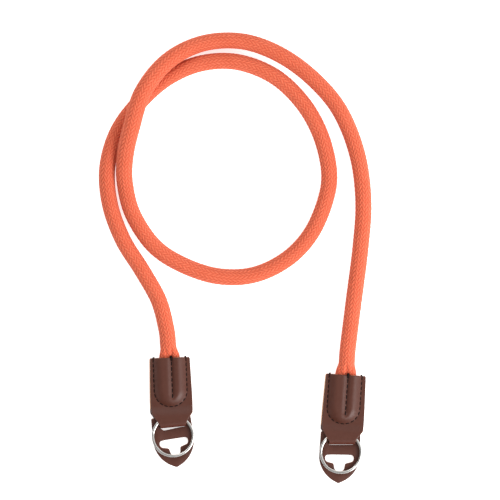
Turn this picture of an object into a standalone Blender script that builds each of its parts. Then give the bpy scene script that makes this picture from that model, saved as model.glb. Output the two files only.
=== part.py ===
"""Coiled camera strap: a round braided rope, lying in one flat coil, with the same fittings at
both ends: a folded leather tab sewn over the flattened rope end, a split ring that runs through
the tab's fold, and a pointed leather guard under the ring.

Metres, +Z up. The strap lies on z = 0 with its coil towards +Y and its two ends towards -Y. The
origin is on that surface, in the middle of the box round the two leather ends.
"""

from math import ceil, cos, pi, radians, sin, sqrt, tan

import bmesh
import bpy
import numpy as np
from mathutils import Matrix

MM = 0.001
GAP = 0.3 * MM
# The origin's place in the measures of ROPE_ROUTE_MM and of each mouth below
ORIGIN = (0.04 * MM, -0.66 * MM)

# Rope
ROPE_DIAMETER = 9.6 * MM
ROPE_RADIUS = ROPE_DIAMETER / 2
ROPE_POINT_SPACING = 2 * ROPE_DIAMETER
ROPE_LEAD = 5 * MM
# Where the rope rides over itself it is pressed wider, by this share at the given lift
ROPE_SWELL = 0.08
SWELL_LIFT = 10.5 * MM
ROPE_SIDES_SETTING = 4
SMOOTH_STEPS = 24
# Rows: x, y of the rope's centre and its lift above a rope that lies on the surface, in mm.
# They run from the left tab up the outer left, under the crossing, round the inner turn, over
# the crossing and down the right side.
ROPE_ROUTE_MM = [
    (-54.49, 45.02, 0.0),
    (-55.6, 55.1, 0.0),
    (-60.3, 72.6, 0.0),
    (-70.6, 91.0, 0.0),
    (-82.0, 109.2, 0.0),
    (-90.0, 131.0, 0.0),
    (-91.6, 153.5, 0.0),
    (-85.4, 175.0, 0.0),
    (-72.5, 192.7, 0.0),
    (-55.5, 207.8, 0.0),
    (-35.0, 216.8, 0.0),
    (-12.5, 217.8, 0.0),
    (10.0, 209.2, 0.0),
    (27.2, 193.2, 0.0),
    (38.4, 173.5, 0.0),
    (43.7, 151.0, 0.0),
    (41.3, 132.9, 0.0),
    (32.4, 112.8, 0.0),
    (18.0, 97.6, 0.0),
    (-2.0, 88.0, 0.0),
    (-24.0, 87.1, 0.0),
    (-45.5, 94.0, 0.0),
    (-63.0, 105.5, 0.0),
    (-75.8, 124.5, 0.0),
    (-80.8, 143.5, 1.4),
    (-80.6, 160.0, 5.8),
    (-76.7, 177.8, 9.9),
    (-69.7, 199.2, 10.5),
    (-54.6, 218.1, 6.6),
    (-33.5, 229.0, 1.6),
    (-9.0, 230.3, 0.0),
    (14.3, 221.9, 0.0),
    (34.9, 206.6, 0.0),
    (50.7, 187.3, 0.0),
    (61.0, 161.0, 0.0),
    (64.6, 133.0, 0.0),
    (62.9, 105.0, 0.0),
    (58.6, 71.0, 0.0),
    (55.2, 43.9, 0.0),
    (54.46, 34.47, 0.0),
]

# The two ends: where the middle of each tab's mouth is, and how each piece is turned, in
# degrees anticlockwise seen from above
ENDS = {
    "left": {
        "mouth": (-53.7 * MM, 37.5 * MM),
        "tab_turn": 2.1,
        "neck_bend": 3.4,
        "rope_bend": 4.1,
        "groove_shift": 1.1 * MM,
        "guard_turn": 7.0,
        "guard_shift": (-0.5 * MM, 0.0),
        "ring_centre": (0.0, -5.15 * MM),
        "ring_split": 205.0,
    },
    "right": {
        "mouth": (53.8 * MM, 27.0 * MM),
        "tab_turn": -4.0,
        "neck_bend": 4.0,
        "rope_bend": -1.6,
        "groove_shift": 1.4 * MM,
        "guard_turn": -2.9,
        "guard_shift": (-0.9 * MM, 0.7 * MM),
        "ring_centre": (0.7 * MM, -5.5 * MM),
        "ring_split": 150.0,
    },
}

# Tab: distances are down from the mouth, along the tab
LEATHER = 1.5 * MM
TAB_LENGTH = 42.6 * MM
TAB_OUTLINE_MM = [
    # down, half width
    (0.0, 12.4),
    (33.0, 13.4),
    (34.9, 12.2),
    (37.3, 10.5),
    (39.1, 9.3),
    (41.2, 8.15),
    (42.6, 7.8),
]
TAB_ROWS_MM = [0, 1.5, 4, 8, 12, 16, 19.5, 22, 24, 26, 28, 30, 31.5, 33, 35, 37.2]
TAB_BACK_ROWS_MM = [35, 33, 31, 29, 27, 24.5, 21, 16, 10, 4, 0]
TAB_COLUMNS = [0.10, 0.20, 0.31, 0.43, 0.56, 0.68, 0.77, 0.85, 1.0]
EDGE_SLANT = 0.9 * MM

# Pocket: the raised U over the rope's end, sewn all round its foot and along its middle
POCKET_HALF_WIDTH = 9.65 * MM
POCKET_ROUND = 20.0 * MM
POCKET_RISE = 5.2 * MM
GROOVE_DEPTH = 0.4
GROOVE_WIDTH = 1.5 * MM
GROOVE_FADE = (22.0 * MM, 27.0 * MM)
TAB_MIDDLE = ROPE_RADIUS
SEAM_HALF_GAP = 0.15 * MM
SEAM = SEAM_HALF_GAP + LEATHER / 2

# Fold: the neck wraps the guard's strip and the ring, and stands on the surface
FOLD_HEIGHT = 8.0 * MM
FOLD_CORNER = 2.15 * MM
FOLD_STEPS = 4
NECK_PIVOT = 35.0 * MM
NECK_BEND_LENGTH = 4.0 * MM
BACK_OPENS = (30.2 * MM, 34.4 * MM)
FRONT_RISES = (28.6 * MM, 34.6 * MM)

# Rope end: flattened inside the pocket, round where the rope begins
ROPE_END_REACH = 7.0 * MM
ROPE_END_SIDES = 20
ROPE_END_STATIONS_MM = [
    # down, half width
    (0.0, 6.2),
    (3.0, 6.6),
    (8.0, 7.0),
    (14.0, 7.0),
    (19.0, 7.0),
    (22.0, 6.6),
    (24.5, 5.4),
    (26.0, 3.6),
]
ROPE_END_ROUND = (19.0 * MM, 26.8 * MM)
ROPE_END_FLARE_STEPS = 4
ROPE_END_EDGE_POWER = 0.6
ROPE_END_SLOPE_ALLOWANCE = 1.25

# Guard: x across it, y towards the mouth, from the middle of the tab's fold
GUARD_THICKNESS = 1.3 * MM
GUARD_HALF_WIDTH = 12.5 * MM
GUARD_TOP = 6.8 * MM
GUARD_TOP_HALF_WIDTH = 12.1 * MM
GUARD_SHOULDER = -7.4 * MM
GUARD_SIDE_RADIUS = 17.9 * MM
GUARD_TIP = -24.5 * MM
GUARD_TIP_HALF_WIDTH = 1.6 * MM
GUARD_SIDE_STEPS = 8
SLOT_TOP = 3.1 * MM
SLOTS_MM = {
    # x, y of each corner below the slot's straight top, from its left end round to its right end
    "left": [
        (-8.6, 2.2),
        (-8.0, 1.2),
        (-7.7, 0.0),
        (-6.8, -0.45),
        (-6.1, -1.3),
        (-5.2, -1.6),
        (5.4, -0.55),
        (8.7, -0.6),
        (9.2, 1.2),
        (9.75, 2.2),
    ],
    "right": [
        (-8.4, 1.3),
        (-7.9, 0.3),
        (-7.5, -1.3),
        (-6.6, -1.55),
        (5.0, -0.95),
        (9.1, -0.7),
        (9.55, 0.9),
        (10.0, 2.0),
    ],
}
T_HOLE_MM = [
    # x, y of the right half, from the top of the bar to the foot of the stem
    (0.0, -7.1),
    (7.3, -7.1),
    (8.4, -7.8),
    (8.8, -9.2),
    (8.4, -10.8),
    (7.3, -11.6),
    (3.7, -12.4),
    (3.3, -13.3),
    (3.0, -15.9),
    (1.9, -17.1),
    (0.0, -17.5),
]
T_HOLE_CENTRE = -9.0 * MM
T_HOLE_TURN_DEG = 2.2

# Ring: two turns of flat wire, joined by one slanting stretch
RING_RADIUS = 13.0 * MM
RING_WIDTH = 1.6 * MM
RING_WIRE = 1.05 * MM
RING_TURN_GAP = 0.25 * MM
RING_HEIGHT = 2 * RING_WIRE + RING_TURN_GAP
RING_CORNER = 0.25 * MM
RING_STEP_DEG = 10.0
RING_SLANT_DEG = 40.0
RING_END_GAP_DEG = 4.0

# The guard leans from the strip between the tab's layers down to its tip on the surface
STRIP_HEIGHT = LEATHER + GAP
GUARD_LEAN = (STRIP_HEIGHT - 0.02 * MM) / (SLOT_TOP - GUARD_TIP)

COLOURS = {
    # base colour, roughness, metallic
    "rope": ((0.87, 0.17, 0.08), 0.85, 0.0),
    "leather": ((0.12, 0.045, 0.03), 0.45, 0.0),
    "steel": ((0.75, 0.75, 0.74), 0.25, 1.0),
}


def clear_scene():
    for item in list(bpy.data.objects):
        bpy.data.objects.remove(item, do_unlink=True)


def material(name):
    made = bpy.data.materials.get(name)
    if made:
        return made
    made = bpy.data.materials.new(name)
    made.use_nodes = True
    shader = made.node_tree.nodes["Principled BSDF"]
    colour, roughness, metallic = COLOURS[name]
    shader.inputs["Base Color"].default_value = (*colour, 1.0)
    shader.inputs["Roughness"].default_value = roughness
    shader.inputs["Metallic"].default_value = metallic
    return made


def add_object(name, data, material_name, placed=Matrix.Identity(4)):
    data.materials.append(material(material_name))
    made = bpy.data.objects.new(name, data)
    bpy.context.scene.collection.objects.link(made)
    made.matrix_world = placed
    return made


def add_mesh(name, points, faces, material_name, placed):
    """A closed mesh object with its faces turned outwards."""
    mesh = bpy.data.meshes.new(name)
    mesh.from_pydata([tuple(p) for p in points], [], faces)
    shape = bmesh.new()
    shape.from_mesh(mesh)
    bmesh.ops.recalc_face_normals(shape, faces=shape.faces)
    shape.to_mesh(mesh)
    shape.free()
    mesh.shade_smooth()
    mesh.set_sharp_from_angle(angle=radians(40))
    return add_object(name, mesh, material_name, placed)


def lofted_faces(rings, sides):
    """Faces between consecutive closed rings of points, with both ends filled."""
    faces = [list(range(sides)), [(rings - 1) * sides + j for j in range(sides)]]
    for i in range(rings - 1):
        for j in range(sides):
            after = (j + 1) % sides
            faces.append([i * sides + j, i * sides + after, (i + 1) * sides + after, (i + 1) * sides + j])
    return faces


def smoothstep(start, end, value):
    part = np.clip((value - start) / (end - start), 0.0, 1.0)
    return part * part * (3 - 2 * part)


def smooth_curve(points):
    """Points along a smooth curve through the given ones, which keeps its end directions."""
    points = np.asarray(points, float)
    before = 2 * points[0] - points[1]
    after = 2 * points[-1] - points[-2]
    knots = np.vstack([before, points, after])
    curve = []
    for p0, p1, p2, p3 in zip(knots, knots[1:], knots[2:], knots[3:]):
        for step in range(SMOOTH_STEPS):
            t = step / SMOOTH_STEPS
            curve.append(
                0.5
                * (
                    2 * p1
                    + (p2 - p0) * t
                    + (2 * p0 - 5 * p1 + 4 * p2 - p3) * t**2
                    + (3 * p1 - p0 - 3 * p2 + p3) * t**3
                )
            )
    curve.append(points[-1])
    return np.array(curve)


def spaced_points(curve, spacing, lead):
    """The curve's points a spacing apart, with one more a short lead from each end."""
    steps = np.linalg.norm(np.diff(curve, axis=0), axis=1)
    along = np.concatenate([[0.0], np.cumsum(steps)])
    length = along[-1]
    count = ceil((length - 2 * lead) / spacing)
    wanted = np.concatenate([[0.0], np.linspace(lead, length - lead, count + 1), [length]])
    return np.stack([np.interp(wanted, along, curve[:, axis]) for axis in range(3)], axis=1)


def rope_centres():
    """The rope's centre line, which nowhere dips below a rope that lies on the surface."""
    rows = np.array(ROPE_ROUTE_MM) * MM
    rows -= (*ORIGIN, -ROPE_RADIUS)
    centres = smooth_curve(rows)
    centres[:, 2] = np.maximum(centres[:, 2], ROPE_RADIUS)
    return centres


def make_rope():
    curve = bpy.data.curves.new("rope", "CURVE")
    curve.dimensions = "3D"
    curve.bevel_depth = ROPE_RADIUS
    curve.bevel_resolution = ROPE_SIDES_SETTING
    curve.use_fill_caps = True
    points = spaced_points(rope_centres(), ROPE_POINT_SPACING, ROPE_LEAD)
    spline = curve.splines.new("POLY")
    spline.points.add(len(points) - 1)
    for target, point in zip(spline.points, points):
        target.co = (*point, 1.0)
        target.radius = 1 + ROPE_SWELL * (point[2] - ROPE_RADIUS) / SWELL_LIFT
    return add_object("rope", curve, "rope")


def end_frame(end):
    x, y = end["mouth"]
    turn = Matrix.Rotation(radians(end["tab_turn"]), 4, "Z")
    return Matrix.Translation((x - ORIGIN[0], y - ORIGIN[1], 0)) @ turn


def bent_neck(x, y, bend):
    """Turns the neck, below its pivot, by the bend in degrees."""
    angle = radians(bend) * smoothstep(0.0, NECK_BEND_LENGTH, -NECK_PIVOT - y)
    below = y + NECK_PIVOT
    return x * np.cos(angle) - below * np.sin(angle), x * np.sin(angle) + below * np.cos(angle) - NECK_PIVOT


def tab_half_width(down):
    table = np.array(TAB_OUTLINE_MM) * MM
    return np.interp(down, table[:, 0], table[:, 1])


def pocket_bulge(x, down, groove):
    """Share of the pocket's full height: 0 at its foot, 1 on the ridges beside the groove."""
    past_round = np.maximum(down - POCKET_ROUND, 0.0)
    inside = POCKET_HALF_WIDTH - np.hypot(x, past_round)
    dome = np.sin(0.5 * pi * np.clip(inside / POCKET_RISE, 0.0, 1.0))
    fade = 1.0 - smoothstep(*GROOVE_FADE, down)
    return dome * (1.0 - GROOVE_DEPTH * fade * np.exp(-(((x - groove) / GROOVE_WIDTH) ** 2)))


def pocket_height(x, down, groove):
    """Half the distance between the middles of the two layers, in the pocket."""
    return SEAM + (TAB_MIDDLE - LEATHER / 2 - SEAM) * pocket_bulge(x, down, groove)


def front_middle(x, down, groove):
    """Height of the middle of the front layer: up over the rope's end, and up over the ring."""
    rise = FOLD_HEIGHT - LEATHER / 2 - TAB_MIDDLE - SEAM
    return TAB_MIDDLE + pocket_height(x, down, groove) + rise * smoothstep(*FRONT_RISES, down)


def back_middle(x, down, groove):
    """Height of the middle of the back layer: down under the rope's end, and flat at the neck."""
    drop = TAB_MIDDLE - SEAM - LEATHER / 2
    return TAB_MIDDLE - pocket_height(x, down, groove) - drop * smoothstep(*BACK_OPENS, down)


def fold_rows():
    """(distance down, height) of the middle of the leather round the fold, front to back."""
    centre_down = TAB_LENGTH - LEATHER / 2 - FOLD_CORNER
    top = FOLD_HEIGHT - LEATHER / 2 - FOLD_CORNER
    bottom = LEATHER / 2 + FOLD_CORNER
    rows = []
    for step in range(2 * FOLD_STEPS + 2):
        corner = top if step <= FOLD_STEPS else bottom
        angle = 0.5 * pi * (step if step <= FOLD_STEPS else step - 1) / FOLD_STEPS
        rows.append((centre_down + FOLD_CORNER * sin(angle), corner + FOLD_CORNER * cos(angle)))
    return rows


def tab_columns(down, groove):
    """Places across the tab, the middle one on the groove."""
    columns = np.array([-c for c in reversed(TAB_COLUMNS)] + [0.0] + TAB_COLUMNS)
    return columns * tab_half_width(down) + groove * (1 - np.abs(columns))


def tab_grid(end):
    """Middle of the leather strip, a row of points for each step from mouth to fold and back."""
    groove = end["groove_shift"]
    rows = []
    for down in np.array(TAB_ROWS_MM) * MM:
        x = tab_columns(down, groove)
        rows.append((x, down, front_middle(x, down, groove)))
    for down, height in fold_rows():
        rows.append((tab_columns(down, groove), down, height))
    for down in np.array(TAB_BACK_ROWS_MM) * MM:
        x = tab_columns(down, groove)
        rows.append((x, down, back_middle(x, down, groove)))
    grid = []
    for x, down, height in rows:
        bent_x, bent_y = bent_neck(x, np.full_like(x, -down), end["neck_bend"])
        grid.append(np.stack([bent_x, bent_y, np.broadcast_to(height, x.shape)], axis=1))
    return np.array(grid)


def make_tab(side, end):
    """One strip of leather: its middle surface, thickened to both sides."""
    middle = tab_grid(end)
    normal = np.cross(np.gradient(middle, axis=1), np.gradient(middle, axis=0))
    normal /= np.linalg.norm(normal, axis=2, keepdims=True)
    skins = [middle + normal * LEATHER / 2, middle - normal * LEATHER / 2]
    seam_top = TAB_MIDDLE + SEAM + LEATHER / 2
    seam_bottom = TAB_MIDDLE - SEAM - LEATHER / 2
    for skin in skins:
        edge = skin[:, 0]
        edge[:, 0] += EDGE_SLANT * np.clip((edge[:, 2] - seam_bottom) / (seam_top - seam_bottom), 0, 1)
    rows, columns = middle.shape[:2]
    count = rows * columns
    faces = []
    for i in range(rows - 1):
        for j in range(columns - 1):
            quad = [i * columns + j, i * columns + j + 1, (i + 1) * columns + j + 1, (i + 1) * columns + j]
            faces.append(quad)
            faces.append([v + count for v in reversed(quad)])
    rim = [j for j in range(columns)]
    rim += [i * columns + columns - 1 for i in range(1, rows)]
    rim += [(rows - 1) * columns + j for j in range(columns - 2, -1, -1)]
    rim += [i * columns for i in range(rows - 2, 0, -1)]
    for here, after in zip(rim, rim[1:] + rim[:1]):
        faces.append([here, after, after + count, here + count])
    points = np.concatenate([skin.reshape(-1, 3) for skin in skins])
    return add_mesh(f"leather_tab_{side}", points, faces, "leather", end_frame(end))


def rope_end_section(down, half_width, groove):
    """The flattened rope inside the pocket, a gap clear of the leather: two lobes side by side."""
    angles = 2 * pi * np.arange(ROPE_END_SIDES) / ROPE_END_SIDES
    x = half_width * np.cos(angles) + groove * np.sin(angles) ** 2
    height = pocket_height(x, down, groove) - ROPE_END_SLOPE_ALLOWANCE * LEATHER / 2 - GAP
    past = np.clip((down - ROPE_END_ROUND[0]) / (ROPE_END_ROUND[1] - ROPE_END_ROUND[0]), 0, 1)
    height *= sqrt(1 - past**2)
    z = height * np.sign(np.sin(angles)) * np.abs(np.sin(angles)) ** ROPE_END_EDGE_POWER
    return np.stack([x, np.full_like(x, -down), z + TAB_MIDDLE], axis=1)


def make_rope_end(side, end):
    angles = 2 * pi * np.arange(ROPE_END_SIDES) / ROPE_END_SIDES
    round_section = np.stack(
        [ROPE_RADIUS * np.cos(angles), np.zeros(ROPE_END_SIDES), ROPE_RADIUS * np.sin(angles) + TAB_MIDDLE],
        axis=1,
    )
    groove = end["groove_shift"]
    mouth = rope_end_section(0.0, ROPE_END_STATIONS_MM[0][1] * MM, groove)
    sections = []
    for step in range(ROPE_END_FLARE_STEPS, 0, -1):
        out = step / ROPE_END_FLARE_STEPS
        blend = smoothstep(0.0, 1.0, out)
        section = mouth * (1 - blend) + round_section * blend
        section[:, 1] = 0.0
        angle = radians(end["rope_bend"]) * out
        reach = ROPE_END_REACH * out
        x = section[:, 0].copy()
        section[:, 0] = x * cos(angle) - reach * sin(angle)
        section[:, 1] = x * sin(angle) + reach * cos(angle)
        sections.append(section)
    sections += [rope_end_section(down * MM, width * MM, groove) for down, width in ROPE_END_STATIONS_MM]
    faces = lofted_faces(len(sections), ROPE_END_SIDES)
    return add_mesh(f"rope_end_{side}", np.concatenate(sections), faces, "rope", end_frame(end))


def guard_outline():
    """Half of the guard's outline, top to tip, then mirrored."""
    centre = GUARD_HALF_WIDTH - GUARD_SIDE_RADIUS
    last_angle = np.arccos((GUARD_TIP_HALF_WIDTH - centre) / GUARD_SIDE_RADIUS)
    right = [(GUARD_TOP_HALF_WIDTH, GUARD_TOP)]
    for step in range(GUARD_SIDE_STEPS + 1):
        angle = last_angle * step / GUARD_SIDE_STEPS
        x = centre + GUARD_SIDE_RADIUS * cos(angle)
        right.append((x, GUARD_SHOULDER - GUARD_SIDE_RADIUS * sin(angle)))
    return right + [(0.0, GUARD_TIP)] + [(-x, y) for x, y in reversed(right)]


def slot_outline(side):
    """The slot for the tab's neck, which fills it but for a narrow slit below the fold."""
    corners = [(x * MM, y * MM) for x, y in SLOTS_MM[side]]
    top = [(corners[-1][0], SLOT_TOP), (corners[0][0], SLOT_TOP)]
    return corners + top


def t_outline():
    """The T-shaped hole, cut a little askew of the guard."""
    right = [(x * MM, y * MM - T_HOLE_CENTRE) for x, y in T_HOLE_MM]
    whole = right + [(-x, y) for x, y in reversed(right[1:-1])]
    turn = radians(T_HOLE_TURN_DEG)
    turned = [(x * cos(turn) - y * sin(turn), x * sin(turn) + y * cos(turn)) for x, y in whole]
    return [(x, y + T_HOLE_CENTRE) for x, y in turned]


def guard_frame(end):
    """The guard's plane: from the fold's middle, turned, and leaning down to the guard's tip."""
    x, y = bent_neck(0.0, -TAB_LENGTH, end["neck_bend"])
    fold = end_frame(end) @ Matrix.Translation((float(x), float(y), 0))
    turn = Matrix.Rotation(radians(end["guard_turn"] - end["tab_turn"]), 4, "Z")
    height = STRIP_HEIGHT - SLOT_TOP * GUARD_LEAN
    lean = Matrix.Rotation(np.arctan(GUARD_LEAN), 4, "X")
    return fold @ turn @ Matrix.Translation((*end["guard_shift"], height)) @ lean


def make_guard(side, end):
    """A flat plate, filled between its outline and its two holes, then given its thickness."""
    shape = bmesh.new()
    edges = []
    for outline in (guard_outline(), slot_outline(side), t_outline()):
        corners = [shape.verts.new((x, y, 0.0)) for x, y in outline]
        edges += [shape.edges.new(pair) for pair in zip(corners, corners[1:] + corners[:1])]
    bmesh.ops.triangle_fill(shape, edges=edges, use_beauty=True, normal=(0, 0, 1))
    grown = bmesh.ops.extrude_face_region(shape, geom=shape.faces[:])
    lifted = [v for v in grown["geom"] if isinstance(v, bmesh.types.BMVert)]
    bmesh.ops.translate(shape, verts=lifted, vec=(0, 0, GUARD_THICKNESS))
    bmesh.ops.recalc_face_normals(shape, faces=shape.faces)
    mesh = bpy.data.meshes.new(f"leather_guard_{side}")
    shape.to_mesh(mesh)
    shape.free()
    return add_object(f"leather_guard_{side}", mesh, "leather", guard_frame(end))


def wire_section():
    """(outwards, up) corners of the ring's flat wire."""
    w, h, c = RING_WIDTH / 2, RING_WIRE / 2, RING_CORNER
    return [(w, h - c), (w - c, h), (c - w, h), (-w, h - c), (-w, c - h), (c - w, -h), (w - c, -h), (w, c - h)]


def make_ring(side, end):
    """Two turns of wire: a low turn, a slanting stretch, and a high turn."""
    low_end = 360.0 - RING_SLANT_DEG
    last = 720.0 - RING_SLANT_DEG - RING_END_GAP_DEG
    stations = np.linspace(RING_END_GAP_DEG, last, ceil(last / RING_STEP_DEG))
    pitch = RING_WIRE + RING_TURN_GAP
    section = wire_section()
    points = []
    for station in stations:
        rise = smoothstep(low_end, low_end + RING_SLANT_DEG, station)
        middle = pitch * (rise - 0.5)
        angle = radians(station + end["ring_split"])
        for outwards, up in section:
            radius = RING_RADIUS - RING_WIDTH / 2 + outwards
            points.append((radius * cos(angle), radius * sin(angle), middle + up))
    faces = lofted_faces(len(stations), len(section))
    lift = GUARD_THICKNESS + GAP + RING_HEIGHT / 2
    centre = Matrix.Translation((*end["ring_centre"], lift))
    return add_mesh(f"split_ring_{side}", points, faces, "steel", guard_frame(end) @ centre)


def main():
    clear_scene()
    make_rope()
    for side, end in ENDS.items():
        make_rope_end(side, end)
        make_tab(side, end)
        make_guard(side, end)
        make_ring(side, end)


main()
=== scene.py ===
"""Coiled camera strap: the looks of its braided rope, leather tabs and guards, thread and rings.

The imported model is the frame. Each solid is replaced by a finer piece of the same form, worked
out from the same named sizes, and the braid runs in one piece through both leather pockets.
Metres, +Z up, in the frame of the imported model.
"""

from math import copysign, cos, pi, radians, sin

import bmesh
import bpy
import numpy as np
from mathutils import Matrix, Vector


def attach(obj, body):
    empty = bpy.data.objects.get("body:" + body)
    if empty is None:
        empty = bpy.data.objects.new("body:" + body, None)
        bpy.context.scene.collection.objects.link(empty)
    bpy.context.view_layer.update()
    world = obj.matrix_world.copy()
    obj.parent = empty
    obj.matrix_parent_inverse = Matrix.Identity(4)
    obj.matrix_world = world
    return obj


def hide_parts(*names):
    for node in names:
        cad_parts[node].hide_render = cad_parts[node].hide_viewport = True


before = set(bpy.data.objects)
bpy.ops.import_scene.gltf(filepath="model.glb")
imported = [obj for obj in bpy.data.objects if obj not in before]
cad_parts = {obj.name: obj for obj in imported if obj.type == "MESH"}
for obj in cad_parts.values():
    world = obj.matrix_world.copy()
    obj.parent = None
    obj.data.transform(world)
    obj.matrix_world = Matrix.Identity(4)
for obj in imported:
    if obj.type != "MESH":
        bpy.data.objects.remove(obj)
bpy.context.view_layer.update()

MM = 0.001
Y_AXIS = np.array([0.0, 1.0, 0.0])
ORIGIN = (0.04 * MM, -0.66 * MM)

# Rope
ROPE_RADIUS = 4.8 * MM
# Where the rope rides over itself it is pressed wider, by this share at the given lift
ROPE_SWELL = 0.08
SWELL_LIFT = 10.5 * MM
SMOOTH_STEPS = 24
# Rows: x, y of the rope's centre and its lift above a rope that lies on the surface, in mm
ROPE_ROUTE_MM = [
    (-54.49, 45.02, 0.0),
    (-55.6, 55.1, 0.0),
    (-60.3, 72.6, 0.0),
    (-70.6, 91.0, 0.0),
    (-82.0, 109.2, 0.0),
    (-90.0, 131.0, 0.0),
    (-91.6, 153.5, 0.0),
    (-85.4, 175.0, 0.0),
    (-72.5, 192.7, 0.0),
    (-55.5, 207.8, 0.0),
    (-35.0, 216.8, 0.0),
    (-12.5, 217.8, 0.0),
    (10.0, 209.2, 0.0),
    (27.2, 193.2, 0.0),
    (38.4, 173.5, 0.0),
    (43.7, 151.0, 0.0),
    (41.3, 132.9, 0.0),
    (32.4, 112.8, 0.0),
    (18.0, 97.6, 0.0),
    (-2.0, 88.0, 0.0),
    (-24.0, 87.1, 0.0),
    (-45.5, 94.0, 0.0),
    (-63.0, 105.5, 0.0),
    (-75.8, 124.5, 0.0),
    (-80.8, 143.5, 1.4),
    (-80.6, 160.0, 5.8),
    (-76.7, 177.8, 9.9),
    (-69.7, 199.2, 10.5),
    (-54.6, 218.1, 6.6),
    (-33.5, 229.0, 1.6),
    (-9.0, 230.3, 0.0),
    (14.3, 221.9, 0.0),
    (34.9, 206.6, 0.0),
    (50.7, 187.3, 0.0),
    (61.0, 161.0, 0.0),
    (64.6, 133.0, 0.0),
    (62.9, 105.0, 0.0),
    (58.6, 71.0, 0.0),
    (55.2, 43.9, 0.0),
    (54.46, 34.47, 0.0),
]

# The two ends: the middle of each tab's mouth, and how each piece is turned, in degrees
ENDS = {
    "left": {
        "mouth": (-53.7 * MM, 37.5 * MM),
        "tab_turn": 2.1,
        "neck_bend": 3.4,
        "groove_shift": 1.1 * MM,
        "guard_turn": 7.0,
        "guard_shift": (-0.5 * MM, 0.0),
        "ring_centre": (0.0, -5.15 * MM),
        "ring_split": 205.0,
    },
    "right": {
        "mouth": (53.8 * MM, 27.0 * MM),
        "tab_turn": -4.0,
        "neck_bend": 4.0,
        "groove_shift": 1.4 * MM,
        "guard_turn": -2.9,
        "guard_shift": (-0.9 * MM, 0.7 * MM),
        "ring_centre": (0.7 * MM, -5.5 * MM),
        "ring_split": 150.0,
    },
}

# Braid: 16 strands lean each way and pass over two, under two. Seen from outside they make
# columns of slanting floats. Across is counted in columns, along in floats.
BRAID_COLUMNS = 16
COLUMN_STEPS = 4
BRAID_SIDES = BRAID_COLUMNS * COLUMN_STEPS
ROWS_PER_FLOAT = 4
FLOAT_PITCH = 2.8 * MM
FLOAT_PITCH_AT_ENDS = 2.4 * MM
FIRST_COLUMN = 0.25
STRAND_CROWN = 0.34 * MM
STRAND_WAVE = 0.16 * MM
BRAID_LIFT = 0.22 * MM
BRAID_TWIST_DEG = 14.0
TWIST_STARTS_OVER = 60.0 * MM
TWIST_WAVES = (310.0 * MM, 127.0 * MM)
TWIST_PHASE = 0.7
SHORT_WAVE_SHARE = 0.5
TIGHT_FLOATS = (2.0 * MM, 16.0 * MM)
POCKET_REACH = 26.0 * MM
FLARE_REACH = 7.0 * MM
FINE_STEPS = 6000
SECTION_STEPS = 256

# Tab: distances are down from the mouth, along the tab
LEATHER = 1.5 * MM
TAB_LENGTH = 42.6 * MM
TAB_OUTLINE_MM = [
    # down, half width
    (0.0, 12.4),
    (33.0, 13.4),
    (34.9, 12.2),
    (37.3, 10.5),
    (39.1, 9.3),
    (41.2, 8.15),
    (42.6, 7.8),
]
MOUTH_CORNER = 0.9 * MM
EDGE_SLANT = 0.9 * MM
RIM_SLANT = 0.35 * MM
SLANT_REACH = 1.9 * MM
EDGE_ROUND = 0.35 * MM
# Shares of the rounding's width at which its points lie, and how much of the leather it thins
EDGE_PLACES = np.array([0.0, 0.12, 0.4, 0.75])
EDGE_THINNING = 0.7
MOUTH_PLACES_MM = (0.0, 0.04, 0.14, 0.26)
EVEN_COLUMNS = 61
FRONT_ROWS_MM = np.arange(0.5, 39.0, 0.5)
BACK_ROWS_MM = np.arange(39.0, 0.6, -0.75)
FOLD_STEPS = 12
POCKET_HALF_WIDTH = 9.65 * MM
POCKET_ROUND = 20.0 * MM
U_ARC = pi * POCKET_HALF_WIDTH
POCKET_RISE = 5.2 * MM
GROOVE_DEPTH = 0.4
GROOVE_WIDTH = 1.5 * MM
GROOVE_FADE = (22.0 * MM, 27.0 * MM)
TAB_MIDDLE = ROPE_RADIUS
SEAM = 0.15 * MM + LEATHER / 2
FOLD_HEIGHT = 8.0 * MM
FOLD_CORNER = 2.15 * MM
NECK_PIVOT = 35.0 * MM
NECK_BEND_LENGTH = 4.0 * MM
BACK_OPENS = (30.2 * MM, 34.4 * MM)
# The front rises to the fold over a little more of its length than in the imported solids
FRONT_RISES = (28.6 * MM, 36.0 * MM)
# Share of the painted shade at the bottom of the fold, where the leather turns under
FOLD_SHADE = 0.9
CREASE_DEPTH = 0.3 * MM
CREASE_WIDTH = 0.6 * MM
GROOVE_CREASE_WIDTH = 0.48 * MM
TAB_SHARP_DEG = 50.0

# Flattened rope inside the pocket
ROPE_END_WIDTHS_MM = [
    # down, half width
    (0.0, 6.2),
    (3.0, 6.6),
    (8.0, 7.0),
    (19.0, 7.0),
    (22.0, 6.6),
    (24.5, 5.4),
    (26.0, 3.6),
]
ROPE_END_ROUND = (19.0 * MM, 26.8 * MM)
ROPE_END_SLOPE_ALLOWANCE = 1.25
ROPE_END_EDGE_POWER = 0.6
GAP = 0.3 * MM

# Thread
THREAD_RADIUS = 0.46 * MM
WRAP_RADIUS = 0.36 * MM
KNOT_RADIUS = 0.8 * MM
SEAM_PITCH = 3.0 * MM
GROOVE_PITCH = 3.4 * MM
GROOVE_SEAM = (1.9 * MM, 25.0 * MM)
STITCH_SHARE = 0.74
STITCH_STEPS = 9
# A stitch's ends sink below the leather, and its middle arches up out of it
STITCH_SINKS = 0.48 * MM
STITCH_ARCHES = 0.42 * MM
THREAD_SIDES = 8
THREAD_TWIST = 5.0
PLY_SHARE = 0.2
MOUTH_WRAP_MM = [
    # down from the mouth, height over the outer skin
    (1.7, -0.25),
    (1.2, 0.06),
    (0.5, 0.16),
    (-0.1, 0.10),
    (-0.4, -0.35),
    (-0.42, -0.9),
    (-0.2, -1.35),
    (0.5, -1.6),
]

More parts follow.
